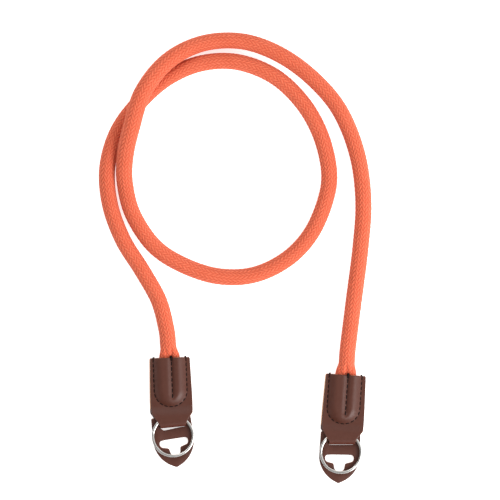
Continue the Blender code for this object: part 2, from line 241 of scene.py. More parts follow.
# Guard: x across it, y towards the mouth, from the middle of the tab's fold
GUARD_THICKNESS = 1.3 * MM
GUARD_HALF_WIDTH = 12.5 * MM
GUARD_TOP = 6.8 * MM
GUARD_TOP_HALF_WIDTH = 12.1 * MM
GUARD_TOP_CORNER = 0.6 * MM
GUARD_SIDE_STEPS = 40
GUARD_SHOULDER = -7.4 * MM
GUARD_SIDE_RADIUS = 17.9 * MM
GUARD_TIP = -24.5 * MM
GUARD_TIP_HALF_WIDTH = 1.6 * MM
GUARD_TIP_ROUND = 0.15 * MM
GUARD_RIM_ROUND = 0.22 * MM
GUARD_SHARP_DEG = 35.0
SLOT_TOP = 3.1 * MM
SLOT_SNUG = 0.5 * MM
SLOT_FOOT_SNUG = 0.15 * MM
SLOTS_MM = {
    # x, y of each corner below the slot's straight top, from its left end round to its right end
    "left": [
        (-8.6, 2.2),
        (-8.0, 1.2),
        (-7.7, 0.0),
        (-6.8, -0.45),
        (-6.1, -1.3),
        (-5.2, -1.6),
        (5.4, -0.55),
        (8.7, -0.6),
        (9.2, 1.2),
        (9.75, 2.2),
    ],
    "right": [
        (-8.4, 1.3),
        (-7.9, 0.3),
        (-7.5, -1.3),
        (-6.6, -1.55),
        (5.0, -0.95),
        (9.1, -0.7),
        (9.55, 0.9),
        (10.0, 2.0),
    ],
}
T_HOLE_MM = [
    # x, y of the right half, from the top of the bar to the foot of the stem
    (0.0, -7.1),
    (7.3, -7.1),
    (8.4, -7.8),
    (8.8, -9.2),
    (8.4, -10.8),
    (7.3, -11.6),
    (3.7, -12.4),
    (3.3, -13.3),
    (3.0, -15.9),
    (1.9, -17.1),
    (0.0, -17.5),
]
T_HOLE_CENTRE = -9.0 * MM
T_HOLE_TURN_DEG = 2.2
STRIP_HEIGHT = LEATHER + GAP
GUARD_LEAN = (STRIP_HEIGHT - 0.02 * MM) / (SLOT_TOP - GUARD_TIP)

# Ring: two turns of wire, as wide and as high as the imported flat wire, with an oval section
RING_RADIUS = 13.0 * MM
RING_WIDTH = 1.6 * MM
RING_WIRE = 1.05 * MM
RING_TURN_GAP = 0.25 * MM
RING_HEIGHT = 2 * RING_WIRE + RING_TURN_GAP
RING_SLANT_DEG = 40.0
RING_END_GAP_DEG = 4.0
RING_STEP_DEG = 2.5
WIRE_SIDES = 20
WIRE_END_SHARE = 0.8
RING_SHARP_DEG = 60.0

# Looks: base colours are linear, and the light and dark of each vary over the surface
FILAMENTS = 5
FILAMENT_RELIEF = 0.07
FUZZ_RELIEF = 0.25
# How the braid's painted shade deepens from the strands' crowns down between them
GROOVE_SHADE_FALLOFF = 1.3
GROOVE_SHADE_GAIN = 1.5
ROPE_CREST_A = (0.63, 0.120, 0.056)
ROPE_CREST_B = (0.67, 0.146, 0.074)
ROPE_CREST_C = (0.69, 0.153, 0.080)
# Painted shade deep between the braid's strands
ROPE_GROOVE_SHADE = (0.45, 0.034, 0.009)
ROPE_SHEEN = (1.0, 0.55, 0.42, 1.0)
LEATHER_COLOUR = (0.0585, 0.0150, 0.0075)
LEATHER_LIGHT = (0.074, 0.0200, 0.0110)
# Painted shade in the creases that the thread presses into the leather
LEATHER_CREASE_SHADE = (0.012, 0.004, 0.003)
# Painted shade on the leather round the tab's fold
LEATHER_FOLD_SHADE = (0.075, 0.0125, 0.0055)
LEATHER_SHINE = 0.34
# Less shine round the fold, as part of its painted shade
FOLD_SHADE_DULLNESS = 0.30
RAW_EDGE_DARK = (0.42, 0.17, 0.065)
RAW_EDGE_LIGHT = (0.80, 0.40, 0.17)
THREAD_DARK = (0.004, 0.0022, 0.002)
THREAD_LIGHT = (0.014, 0.007, 0.006)
STEEL_DARK = (0.42, 0.41, 0.39)
STEEL_LIGHT = (0.66, 0.65, 0.63)

# Camera: straight above, at the photograph's framing
VIEW_CENTRE = (-4.6 * MM, 103.77 * MM)
VIEW_WIDTH = 305.0 * MM
VIEW_LENS = 400.0
SENSOR = 36.0
SKY_STRENGTH = 1.05
SKY_BRIGHTER_TOWARDS = (0.65, 0.2, 0.0)
SKY_LEVELS = [
    # how far up a direction points, brightness
    (0.0, 0.5),
    (0.25, 0.65),
    (0.5, 1.0),
    (0.72, 1.0),
    (0.93, 0.5),
    (1.0, 0.4),
]
LIGHTS = [
    # name, place, size in metres, power in watts
    ("key", (0.75, -0.55, 0.75), 0.85, 15.8),
    ("fill", (-0.6, 0.75, 0.9), 0.9, 5.0),
]
FLOOR_SIZE = 6.0
FLOOR_DROP = 0.05 * MM
FLOOR_GLOW = 0.65


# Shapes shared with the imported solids


def smoothstep(start, end, value):
    part = np.clip((value - start) / (end - start), 0.0, 1.0)
    return part * part * (3 - 2 * part)


def smooth_curve(points):
    """Points along a smooth curve through the given ones, which keeps its end directions."""
    points = np.asarray(points, float)
    knots = np.vstack([2 * points[0] - points[1], points, 2 * points[-1] - points[-2]])
    curve = []
    for p0, p1, p2, p3 in zip(knots, knots[1:], knots[2:], knots[3:]):
        for step in range(SMOOTH_STEPS):
            t = step / SMOOTH_STEPS
            bend = (2 * p0 - 5 * p1 + 4 * p2 - p3) * t**2 + (3 * p1 - p0 - 3 * p2 + p3) * t**3
            curve.append(0.5 * (2 * p1 + (p2 - p0) * t + bend))
    curve.append(points[-1])
    return np.array(curve)


def cut_corners(points, times=2, closed=False):
    """The polyline with its corners rounded by cutting them, a quarter of each side at a time."""
    points = np.asarray(points, float)
    for _ in range(times):
        after = np.roll(points, -1, axis=0) if closed else points[1:]
        here = points if closed else points[:-1]
        cut = np.stack([0.75 * here + 0.25 * after, 0.25 * here + 0.75 * after], axis=1)
        cut = cut.reshape(-1, 2)
        points = cut if closed else np.vstack([points[:1], cut, points[-1:]])
    return points


def end_frame(end):
    x, y = end["mouth"]
    turn = Matrix.Rotation(radians(end["tab_turn"]), 4, "Z")
    return Matrix.Translation((x - ORIGIN[0], y - ORIGIN[1], 0)) @ turn


def bent_neck(x, y, bend):
    """Turns the neck, below its pivot, by the bend in degrees."""
    angle = radians(bend) * smoothstep(0.0, NECK_BEND_LENGTH, -NECK_PIVOT - y)
    below = y + NECK_PIVOT
    across = x * np.cos(angle) - below * np.sin(angle)
    along = x * np.sin(angle) + below * np.cos(angle)
    return across, along - NECK_PIVOT


def tab_half_width(down):
    table = cut_corners(np.array(TAB_OUTLINE_MM) * MM)
    half = np.interp(down, table[:, 0], table[:, 1])
    into_corner = np.clip(1 - np.asarray(down) / MOUTH_CORNER, 0, 1)
    return half - MOUTH_CORNER * (1 - np.sqrt(1 - into_corner**2))


def pocket_bulge(x, down, groove):
    """Share of the pocket's full height: 0 at its foot, 1 on the ridges beside the groove."""
    past_round = np.maximum(down - POCKET_ROUND, 0.0)
    inside = POCKET_HALF_WIDTH - np.hypot(x, past_round)
    dome = np.sin(0.5 * pi * np.clip(inside / POCKET_RISE, 0.0, 1.0))
    fade = 1.0 - smoothstep(*GROOVE_FADE, down)
    return dome * (1.0 - GROOVE_DEPTH * fade * np.exp(-(((x - groove) / GROOVE_WIDTH) ** 2)))


def pocket_height(x, down, groove):
    """Half the distance between the middles of the two layers, in the pocket."""
    return SEAM + (TAB_MIDDLE - LEATHER / 2 - SEAM) * pocket_bulge(x, down, groove)


def front_middle(x, down, groove):
    rise = FOLD_HEIGHT - LEATHER / 2 - TAB_MIDDLE - SEAM
    return TAB_MIDDLE + pocket_height(x, down, groove) + rise * smoothstep(*FRONT_RISES, down)


def back_middle(x, down, groove):
    drop = TAB_MIDDLE - SEAM - LEATHER / 2
    return TAB_MIDDLE - pocket_height(x, down, groove) - drop * smoothstep(*BACK_OPENS, down)


def guard_frame(end):
    """The guard's plane: from the fold's middle, turned, and leaning down to the guard's tip."""
    x, y = bent_neck(0.0, -TAB_LENGTH, end["neck_bend"])
    fold = end_frame(end) @ Matrix.Translation((float(x), float(y), 0))
    turn = Matrix.Rotation(radians(end["guard_turn"] - end["tab_turn"]), 4, "Z")
    height = STRIP_HEIGHT - SLOT_TOP * GUARD_LEAN
    lean = Matrix.Rotation(np.arctan(GUARD_LEAN), 4, "X")
    return fold @ turn @ Matrix.Translation((*end["guard_shift"], height)) @ lean


# Materials


def new_material(name):
    made = bpy.data.materials.new(name)
    made.use_nodes = True
    return made, made.node_tree, made.node_tree.nodes["Principled BSDF"]


def connect(tree, target, inputs):
    """Sets a node's inputs to values, or links them to sockets."""
    for key, value in inputs.items():
        if isinstance(value, bpy.types.NodeSocket):
            tree.links.new(value, target.inputs[key])
        else:
            target.inputs[key].default_value = value


def node(tree, kind, inputs=None, **settings):
    made = tree.nodes.new(kind)
    for key, value in settings.items():
        setattr(made, key, value)
    connect(tree, made, inputs or {})
    return made


def maths(tree, operation, *values):
    return node(tree, "ShaderNodeMath", dict(enumerate(values)), operation=operation).outputs[0]


def scaled(tree, value, factor):
    return maths(tree, "MULTIPLY", value, factor)


def mixed(tree, factor, low, high):
    """A colour between two, each given as a socket or as red, green and blue."""
    low, high = (c if isinstance(c, bpy.types.NodeSocket) else (*c, 1.0) for c in (low, high))
    return node(tree, "ShaderNodeMix", {0: factor, 6: low, 7: high}, data_type="RGBA").outputs[2]


def bump(tree, height, distance, strength):
    inputs = {"Height": height, "Distance": distance, "Strength": strength}
    return node(tree, "ShaderNodeBump", inputs).outputs[0]


def noise(tree, place, scale, detail, roughness=0.5):
    inputs = {"Vector": place, "Scale": scale, "Detail": detail, "Roughness": roughness}
    return node(tree, "ShaderNodeTexNoise", inputs).outputs["Fac"]


def attribute(tree, name):
    return node(tree, "ShaderNodeAttribute", attribute_name=name).outputs["Fac"]


def millimetres(tree):
    """Places on the object, in millimetres."""
    place = node(tree, "ShaderNodeTexCoord").outputs["Object"]
    return node(tree, "ShaderNodeVectorMath", {0: place, "Scale": 1000.0}, operation="SCALE").outputs[0]


def strand_height(tree, lattice, across, column_centre):
    """Height over the core of the strands that lean one way, in crowns."""
    nearest = maths(tree, "ROUND", lattice)
    off_middle = maths(tree, "ABSOLUTE", maths(tree, "SUBTRACT", lattice, nearest))
    fallen = maths(tree, "POWER", scaled(tree, off_middle, 2.0), 2.0)
    crown = maths(tree, "SQRT", maths(tree, "MAXIMUM", maths(tree, "SUBTRACT", 1.0, fallen), 0.0))
    angle = scaled(tree, maths(tree, "SUBTRACT", across, column_centre), pi)
    wave = scaled(tree, maths(tree, "COSINE", angle), STRAND_WAVE / STRAND_CROWN)
    return maths(tree, "ADD", crown, wave)


def braid_material():
    """Coral yarn: two sets of strands over and under each other, with painted shade where they dive."""
    made, tree, shader = new_material("coral_braid")
    weave = node(tree, "ShaderNodeUVMap", uv_map="weave").outputs[0]
    split = node(tree, "ShaderNodeSeparateXYZ", {0: weave})
    across, along = split.outputs[0], split.outputs[1]
    right_leaning = maths(tree, "SUBTRACT", along, across)
    left_leaning = maths(tree, "ADD", along, across)
    right_height = strand_height(tree, right_leaning, across, FIRST_COLUMN)
    left_height = strand_height(tree, left_leaning, across, FIRST_COLUMN + 1)
    height = maths(tree, "MAXIMUM", right_height, left_height)
    right_on_top = maths(tree, "GREATER_THAN", right_height, left_height)
    lattices = {0: right_on_top, 2: left_leaning, 3: right_leaning}
    on_top = node(tree, "ShaderNodeMix", lattices).outputs[0]

    place = millimetres(tree)
    filaments = maths(tree, "SINE", scaled(tree, on_top, 2 * pi * FILAMENTS))
    fuzz = noise(tree, place, 4.0, 3.0)
    yarn = maths(tree, "ADD", scaled(tree, filaments, FILAMENT_RELIEF), scaled(tree, fuzz, FUZZ_RELIEF))

    strand = node(tree, "ShaderNodeCombineXYZ", {0: maths(tree, "ROUND", on_top), 1: right_on_top})
    chances = {"Vector": strand.outputs[0]}
    chance = node(tree, "ShaderNodeTexWhiteNoise", chances, noise_dimensions="2D").outputs["Value"]
    crest = mixed(tree, chance, ROPE_CREST_A, ROPE_CREST_B)
    crest = mixed(tree, noise(tree, place, 0.15, 3.0), crest, ROPE_CREST_C)
    # Painted shade between the strands, deeper the further below the crowns
    top = 1.0 + STRAND_WAVE / STRAND_CROWN
    depth = maths(tree, "DIVIDE", maths(tree, "SUBTRACT", top, height), top)
    groove = scaled(tree, maths(tree, "POWER", depth, GROOVE_SHADE_FALLOFF), GROOVE_SHADE_GAIN)
    looks = {
        "Base Color": mixed(tree, maths(tree, "MINIMUM", groove, 1.0), crest, ROPE_GROOVE_SHADE),
        "Normal": bump(tree, maths(tree, "ADD", height, yarn), STRAND_CROWN, 0.75),
        "Roughness": 0.85,
        "Specular IOR Level": 0.2,
        "Sheen Weight": 0.25,
        "Sheen Roughness": 0.5,
        "Sheen Tint": ROPE_SHEEN,
    }
    connect(tree, shader, looks)
    return made


def leather_material(name):
    """Smooth finished leather: fine grain and faint mottling, with painted shade in its stitch creases
    and round its fold.
    """
    made, tree, shader = new_material(name)
    place = millimetres(tree)
    cells = {"Vector": place, "Scale": 2.6}
    grain = node(tree, "ShaderNodeTexVoronoi", cells, feature="DISTANCE_TO_EDGE").outputs["Distance"]
    pores = scaled(tree, maths(tree, "MINIMUM", grain, 0.16), 1.2)
    fine = scaled(tree, noise(tree, place, 1.1, 5.0, 0.6), 0.5)
    soft = scaled(tree, noise(tree, place, 0.22, 2.0), 2.2)
    relief = maths(tree, "ADD", maths(tree, "ADD", pores, fine), soft)

    mottle = noise(tree, place, 0.35, 6.0, 0.65)
    # Mask of the painted shade round the fold
    fold = attribute(tree, "fold")
    body = mixed(tree, mottle, LEATHER_COLOUR, LEATHER_LIGHT)
    body = mixed(tree, fold, body, LEATHER_FOLD_SHADE)
    looks = {
        # Painted shade in the stitch creases
        "Base Color": mixed(tree, attribute(tree, "crease"), body, LEATHER_CREASE_SHADE),
        "Normal": bump(tree, relief, 0.06 * MM, 0.7),
        "Roughness": maths(tree, "ADD", 0.37, scaled(tree, mottle, 0.12)),
        # Less shine in the fold, for its painted shade
        "Specular IOR Level": maths(tree, "SUBTRACT", LEATHER_SHINE, scaled(tree, fold, FOLD_SHADE_DULLNESS)),
    }
    connect(tree, shader, looks)
    return made


def raw_edge_material():
    """Cut leather: tan fibres across the thickness, with painted shade in the fold."""
    made, tree, shader = new_material("raw_leather_edge")
    fibres = noise(tree, millimetres(tree), 2.2, 6.0, 0.7)
    colour = mixed(tree, fibres, RAW_EDGE_DARK, RAW_EDGE_LIGHT)
    looks = {
        # Painted shade round the fold
        "Base Color": mixed(tree, attribute(tree, "fold"), colour, LEATHER_FOLD_SHADE),
        "Normal": bump(tree, fibres, 0.12 * MM, 0.8),
        "Roughness": 0.85,
    }
    connect(tree, shader, looks)
    return made


def thread_material():
    """Dark waxed thread with its plies showing."""
    made, tree, shader = new_material("waxed_thread")
    ply = noise(tree, millimetres(tree), 5.0, 4.0)
    looks = {
        "Base Color": mixed(tree, ply, THREAD_DARK, THREAD_LIGHT),
        "Normal": bump(tree, ply, 0.05 * MM, 0.6),
        "Roughness": 0.8,
        "Specular IOR Level": 0.1,
    }
    connect(tree, shader, looks)
    return made


def steel_material():
    """Bright wire with small scuffs."""
    made, tree, shader = new_material("bright_steel")
    scuffs = noise(tree, millimetres(tree), 1.6, 6.0, 0.7)
    looks = {
        "Base Color": mixed(tree, scuffs, STEEL_DARK, STEEL_LIGHT),
        "Normal": bump(tree, scuffs, 0.02 * MM, 0.5),
        "Roughness": maths(tree, "ADD", 0.1, scaled(tree, scuffs, 0.2)),
        "Metallic": 1.0,
    }
    connect(tree, shader, looks)
    return made


BRAID = braid_material()
TAB_LEATHER = leather_material("tab_leather")
GUARD_LEATHER = leather_material("guard_leather")
RAW_EDGE = raw_edge_material()
THREAD = thread_material()
STEEL = steel_material()


# Mesh helpers


def add_piece(name, mesh, body, slot, *nodes):
    """Adds a mesh that rides on a body and stands for the given nodes."""
    made = bpy.data.objects.new(name, mesh)
    bpy.context.scene.collection.objects.link(made)
    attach(made, body)
    if nodes:
        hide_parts(*nodes)
    return made


def outward_mesh(name, points, faces, materials):
    mesh = bpy.data.meshes.new(name)
    mesh.from_pydata(np.asarray(points).tolist(), [], faces)
    shape = bmesh.new()
    shape.from_mesh(mesh)
    bmesh.ops.recalc_face_normals(shape, faces=shape.faces)
    shape.to_mesh(mesh)
    shape.free()
    for material in materials:
        mesh.materials.append(material)
    mesh.shade_smooth()
    return mesh


def lofted_faces(rings, sides):
    """Faces between consecutive closed rings of points, with both ends filled."""
    faces = [list(range(sides)), [(rings - 1) * sides + j for j in range(sides)]]
    for i in range(rings - 1):
        for j in range(sides):
            after = (j + 1) % sides
            faces.append([i * sides + j, i * sides + after, (i + 1) * sides + after, (i + 1) * sides + j])
    return faces


def placed(matrix, points):
    matrix = np.array(matrix)
    return np.asarray(points) @ matrix[:3, :3].T + matrix[:3, 3]


# Braided rope


def rope_line():
    """The rope's centre line, from deep in the left pocket to deep in the right one."""
    rows = np.array(ROPE_ROUTE_MM) * MM
    rows -= (*ORIGIN, -ROPE_RADIUS)
    depths = np.linspace(POCKET_REACH, 0.0, 4)
    inside = np.stack([np.zeros(4), -depths, np.full(4, TAB_MIDDLE)], axis=1)
    left = placed(end_frame(ENDS["left"]), inside)
    right = placed(end_frame(ENDS["right"]), inside)[::-1]
    line = smooth_curve(np.vstack([left, rows, right]))
    line[:, 2] = np.maximum(line[:, 2], ROPE_RADIUS)
    return line


def even_section(points):
    """A closed section, its points spaced evenly along it."""
    steps = np.linalg.norm(np.roll(points, -1, axis=0) - points, axis=1)
    along = np.concatenate([[0.0], np.cumsum(steps)])
    wanted = np.linspace(0.0, along[-1], BRAID_SIDES, endpoint=False)
    closed = np.vstack([points, points[:1]])
    return np.stack([np.interp(wanted, along, closed[:, axis]) for axis in range(2)], axis=1)


def flat_section(down, groove):
    """(sideways, up) of the flattened rope in the pocket, from its middle."""
    angles = 2 * pi * np.arange(SECTION_STEPS) / SECTION_STEPS
    table = np.array(ROPE_END_WIDTHS_MM) * MM
    half_width = np.interp(down, table[:, 0], table[:, 1])
    x = half_width * np.cos(angles) + groove * np.sin(angles) ** 2
    height = pocket_height(x, down, groove) - ROPE_END_SLOPE_ALLOWANCE * LEATHER / 2 - GAP
    past = np.clip((down - ROPE_END_ROUND[0]) / (ROPE_END_ROUND[1] - ROPE_END_ROUND[0]), 0, 1)
    round_edge = np.sign(np.sin(angles)) * np.abs(np.sin(angles)) ** ROPE_END_EDGE_POWER
    z = height * np.sqrt(1 - past**2) * round_edge
    return even_section(np.stack([x, z], axis=1))


def rope_section(from_start, length):
    """The rope's section at a distance along it: round, or flattened towards and in a pocket."""
    angles = 2 * pi * np.arange(BRAID_SIDES) / BRAID_SIDES
    round_section = ROPE_RADIUS * np.stack([np.cos(angles), np.sin(angles)], axis=1)
    left = from_start < length / 2
    outside = (from_start if left else length - from_start) - POCKET_REACH
    if outside >= FLARE_REACH:
        return round_section
    groove = ENDS["left"]["groove_shift"] if left else -ENDS["right"]["groove_shift"]
    flat = flat_section(max(-outside, 0.0), groove)
    share = smoothstep(0.0, FLARE_REACH, max(outside, 0.0))
    return flat * (1 - share) + round_section * share


def distances_along(points):
    steps = np.linalg.norm(np.diff(points, axis=0), axis=1)
    return np.concatenate([[0.0], np.cumsum(steps)])


def floats_along(length):
    """Places along the rope, and how many floats lie behind each: they are shorter near its ends."""
    places = np.linspace(0.0, length, FINE_STEPS)
    from_end = np.minimum(places, length - places) - POCKET_REACH
    ends_share = 1 - smoothstep(*TIGHT_FLOATS, from_end)
    pitch = FLOAT_PITCH + (FLOAT_PITCH_AT_ENDS - FLOAT_PITCH) * ends_share
    return places, np.concatenate([[0.0], np.cumsum(np.diff(places) / pitch[:-1])])


def crown(lattice):
    """A round strand's height, from 1 on its middle to 0 at its sides."""
    off_middle = 2 * np.abs(lattice - np.round(lattice))
    return np.sqrt(np.maximum(1 - off_middle**2, 0))


def braid_relief(across, along):
    """Height of the topmost strand over the rope's smooth form, at places in columns and floats."""
    wave = STRAND_WAVE * np.cos(pi * (across - FIRST_COLUMN))
    right_leaning = STRAND_CROWN * crown(along - across) + wave
    left_leaning = STRAND_CROWN * crown(along + across) - wave
    return np.maximum(right_leaning, left_leaning) - STRAND_CROWN - STRAND_WAVE + BRAID_LIFT


def braid_twist(place, length):
    """How far the braid wanders round the rope, in radians: not at all near its ends."""
    from_flare = np.minimum(place, length - place) - POCKET_REACH - FLARE_REACH
    share = smoothstep(0.0, TWIST_STARTS_OVER, from_flare)
    long_wave, short_wave = (2 * pi * place / wave for wave in TWIST_WAVES)
    wander = np.sin(long_wave + TWIST_PHASE) + SHORT_WAVE_SHARE * np.sin(short_wave)
    return radians(BRAID_TWIST_DEG) * share * wander


def frame_along(line):
    """Directions sideways and upwards from the rope. Sideways is level, so columns keep their places."""
    tangent = np.gradient(line, axis=0)
    tangent /= np.linalg.norm(tangent, axis=1, keepdims=True)
    sideways = np.cross(tangent, (0.0, 0.0, 1.0))
    sideways /= np.linalg.norm(sideways, axis=1, keepdims=True)
    return sideways, np.cross(sideways, tangent)


def weave_uv(across, along):
    """Corner by corner, the columns and floats at each quad of the braid."""
    step = 1 / COLUMN_STEPS
    across_uv = np.stack([across, across + step, across + step, across], axis=-1)
    after = np.roll(along, -1, axis=1)
    along_uv = np.stack([along[1:], after[1:], after[:-1], along[:-1]], axis=-1)
    return np.stack([np.broadcast_to(across_uv, along_uv.shape), along_uv], axis=-1).reshape(-1, 2)


def make_braid():
    line = rope_line()
    along = distances_along(line)
    length = along[-1]
    fine, floats = floats_along(length)

    # Each row of the mesh runs along one strand in every column, so the rows zigzag round the rope
    side = np.arange(BRAID_SIDES)
    column = side // COLUMN_STEPS
    aside = (side % COLUMN_STEPS) / COLUMN_STEPS - 0.5
    across_place = column + FIRST_COLUMN + aside
    zigzag = (1 - 2 * (column % 2)) * aside
    rows = int((floats[-1] - 1) * ROWS_PER_FLOAT)
    row = 0.5 + np.arange(rows) / ROWS_PER_FLOAT
    row_floats = row[:, None] + zigzag[None, :]
    row_place = np.interp(row_floats, floats, fine)

    def at_rows(values):
        return np.stack([np.interp(row_place, along, values[:, axis]) for axis in range(3)], axis=-1)

    row_middle = np.interp(row, floats, fine)
    sections = np.array([rope_section(middle, length) for middle in row_middle])
    turned = np.roll(sections, -1, axis=1) - np.roll(sections, 1, axis=1)
    normals = np.stack([turned[..., 1], -turned[..., 0]], axis=-1)
    normals /= np.linalg.norm(normals, axis=-1, keepdims=True)
    lift = np.interp(row_middle, along, line[:, 2]) - ROPE_RADIUS
    swell = 1 + ROPE_SWELL * lift / SWELL_LIFT
    relief = braid_relief(across_place, row_floats)
    flat = sections * swell[:, None, None] + normals * relief[:, :, None]
    twist = braid_twist(row_place, length)
    turned_x = flat[..., 0] * np.cos(twist) - flat[..., 1] * np.sin(twist)
    turned_z = flat[..., 0] * np.sin(twist) + flat[..., 1] * np.cos(twist)
    sideways, upwards = (at_rows(direction) for direction in frame_along(line))
    points = at_rows(line) + sideways * turned_x[..., None] + upwards * turned_z[..., None]

    first = np.arange(rows - 1)[:, None] * BRAID_SIDES
    here = first + side[None, :]
    after = first + np.roll(side, -1)[None, :]
    quads = np.stack([here + BRAID_SIDES, after + BRAID_SIDES, after, here], axis=-1).reshape(-1, 4)
    caps = [side[::-1].tolist(), (side + (rows - 1) * BRAID_SIDES).tolist()]
    mesh = bpy.data.meshes.new("rope_braid")
    mesh.from_pydata(points.reshape(-1, 3).tolist(), [], quads.tolist() + caps)
    uv = np.concatenate([weave_uv(across_place, row_floats), np.zeros((2 * BRAID_SIDES, 2))])
    mesh.uv_layers.new(name="weave").data.foreach_set("uv", uv.astype(np.float32).ravel())
    mesh.materials.append(BRAID)
    mesh.shade_smooth()
    made = add_piece("rope_braid", mesh, "strap", "braid", "rope", "rope_end_left", "rope_end_right")


# Leather tabs


def seam_distance(x, down):
    """Distance from the U-shaped seam round the pocket's foot."""
    past_round = np.maximum(down - POCKET_ROUND, 0.0)
    return np.abs(np.hypot(x, past_round) - POCKET_HALF_WIDTH)


def tab_columns(down):
    """Places across the tab: even over its width, close together at its two edges."""
    half = tab_half_width(down)
    edge = EDGE_ROUND * EDGE_PLACES
    even = np.linspace(-1, 1, EVEN_COLUMNS) * (half - EDGE_ROUND)
    return np.concatenate([edge - half, even, (half - edge)[::-1]])


def tab_rows(groove):
    """Rows across the tab, from the front's mouth round the fold to the back's mouth.

    Each is (places across, distance down, heights, how far round the fold it lies).
    """
    rows = []
    for down in np.concatenate([MOUTH_PLACES_MM, FRONT_ROWS_MM]) * MM:
        x = tab_columns(down)
        rows.append((x, down, front_middle(x, down, groove), 0.0))
    reach = LEATHER / 2 + FOLD_CORNER
    for middle, start in ((FOLD_HEIGHT - reach, 0.0), (reach, 0.5 * pi)):
        for angle in start + np.linspace(0, 0.5 * pi, FOLD_STEPS):
            down = TAB_LENGTH - reach + FOLD_CORNER * sin(angle)
            x = tab_columns(down)
            height = np.full_like(x, middle + FOLD_CORNER * cos(angle))
            rows.append((x, down, height, sin(angle) ** 2))
    for down in np.concatenate([BACK_ROWS_MM, MOUTH_PLACES_MM[::-1]]) * MM:
        x = tab_columns(down)
        rows.append((x, down, back_middle(x, down, groove), 0.0))
    return rows


def seam_crease(x, down, groove):
    """How much of the crease's full depth the thread presses in, near the U and the groove."""
    near_seam = np.exp(-((seam_distance(x, down) / CREASE_WIDTH) ** 2))
    near_groove = np.exp(-(((x - groove) / GROOVE_CREASE_WIDTH) ** 2))
    return np.maximum(near_seam, near_groove * (1.0 - smoothstep(*GROOVE_FADE, down)))


def edge_thinning(count):
    """Share of the leather's half thickness at each of its places, less at the rounded edges."""
    rounded = np.sqrt(1 - (1 - EDGE_PLACES) ** 2 * EDGE_THINNING)
    return np.concatenate([rounded, np.ones(count - 2 * len(rounded)), rounded[::-1]])


def slant_side(skin, slant):
    """Moves the tab's left side inwards, more at the upper layer, so that its raw edge shows."""
    seam_top = TAB_MIDDLE + SEAM + LEATHER / 2
    seam_bottom = TAB_MIDDLE - SEAM - LEATHER / 2
    from_edge = skin[:, :, 0] - skin[:, :1, 0]
    shift = slant * np.clip((skin[:, :, 2] - seam_bottom) / (seam_top - seam_bottom), 0, 1)
    skin[:, :, 0] += shift * np.clip(1 - from_edge / SLANT_REACH, 0, 1)


def strip_faces(rows, columns):
    """Faces of a strip's outer and inner skins, and of the rim that joins them."""
    count = rows * columns
    skins = []
    for i in range(rows - 1):
        for j in range(columns - 1):
            a = i * columns + j
            quad = [a, a + 1, a + 1 + columns, a + columns]
            skins.append(quad)
            skins.append([v + count for v in reversed(quad)])
    around = list(range(columns))
    around += [i * columns + columns - 1 for i in range(1, rows)]
    around += [count - columns + j for j in range(columns - 2, -1, -1)]
    around += [i * columns for i in range(rows - 2, 0, -1)]
    following = around[1:] + around[:1]
    return skins, [[a, b, b + count, a + count] for a, b in zip(around, following)]


def make_tab(side, end):
    groove = end["groove_shift"]
    middle, crease, fold = [], [], []
    for x, down, height, round_fold in tab_rows(groove):
        bent_x, bent_y = bent_neck(x, -down, end["neck_bend"])
        middle.append(np.stack([bent_x, bent_y, height], axis=1))
        crease.append(seam_crease(x, down, groove))
        # Painted shade, darkest at the bottom of the fold
        fold.append(np.full_like(x, FOLD_SHADE * round_fold))
    middle, crease, fold = np.array(middle), np.array(crease), np.array(fold)
    normal = np.cross(np.gradient(middle, axis=1), np.gradient(middle, axis=0))
    normal /= np.linalg.norm(normal, axis=2, keepdims=True)
    rows, columns = crease.shape
    thin = np.minimum(edge_thinning(rows)[:, None], edge_thinning(columns)[None, :])[..., None]
    outer = middle + normal * (LEATHER / 2 * thin - CREASE_DEPTH * crease[..., None])
    inner = middle - normal * LEATHER / 2 * thin
    slant_side(outer, EDGE_SLANT + RIM_SLANT)
    slant_side(inner, EDGE_SLANT)

    skins, rim = strip_faces(rows, columns)
    points = np.concatenate([outer.reshape(-1, 3), inner.reshape(-1, 3)])
    points = placed(end_frame(end), points)
    mesh = outward_mesh(f"tab_{side}", points, skins + rim, [TAB_LEATHER, RAW_EDGE])
    materials = np.repeat([0, 1], [len(skins), len(rim)]).astype(np.int32)
    mesh.polygons.foreach_set("material_index", materials)
    # Masks for the painted shade in the stitch creases and round the fold
    shades = {
        "crease": np.concatenate([crease.ravel(), np.zeros(crease.size)]),
        "fold": np.tile(fold.ravel(), 2),
    }
    for name, values in shades.items():
        shade = mesh.attributes.new(name, "FLOAT", "POINT")
        shade.data.foreach_set("value", values.astype(np.float32))
    mesh.set_sharp_from_angle(angle=radians(TAB_SHARP_DEG))
    add_piece(f"tab_{side}", mesh, "strap", "tab_leather", f"leather_tab_{side}")


# Stitches


def skin_point(x, down, groove, layer, lift):
    """A point over the outside of the front layer (1) or the back layer (-1), and the way out."""
    surface = front_middle if layer > 0 else back_middle
    step = 0.05 * MM
    rise_x = surface(x + step, down, groove) - surface(x - step, down, groove)
    rise_down = surface(x, down + step, groove) - surface(x, down - step, groove)
    normal = np.array([-rise_x / (2 * step), rise_down / (2 * step), 1.0]) * layer
    normal /= np.linalg.norm(normal)
    return np.array([x, -down, surface(x, down, groove)]) + normal * (LEATHER / 2 + lift), normal


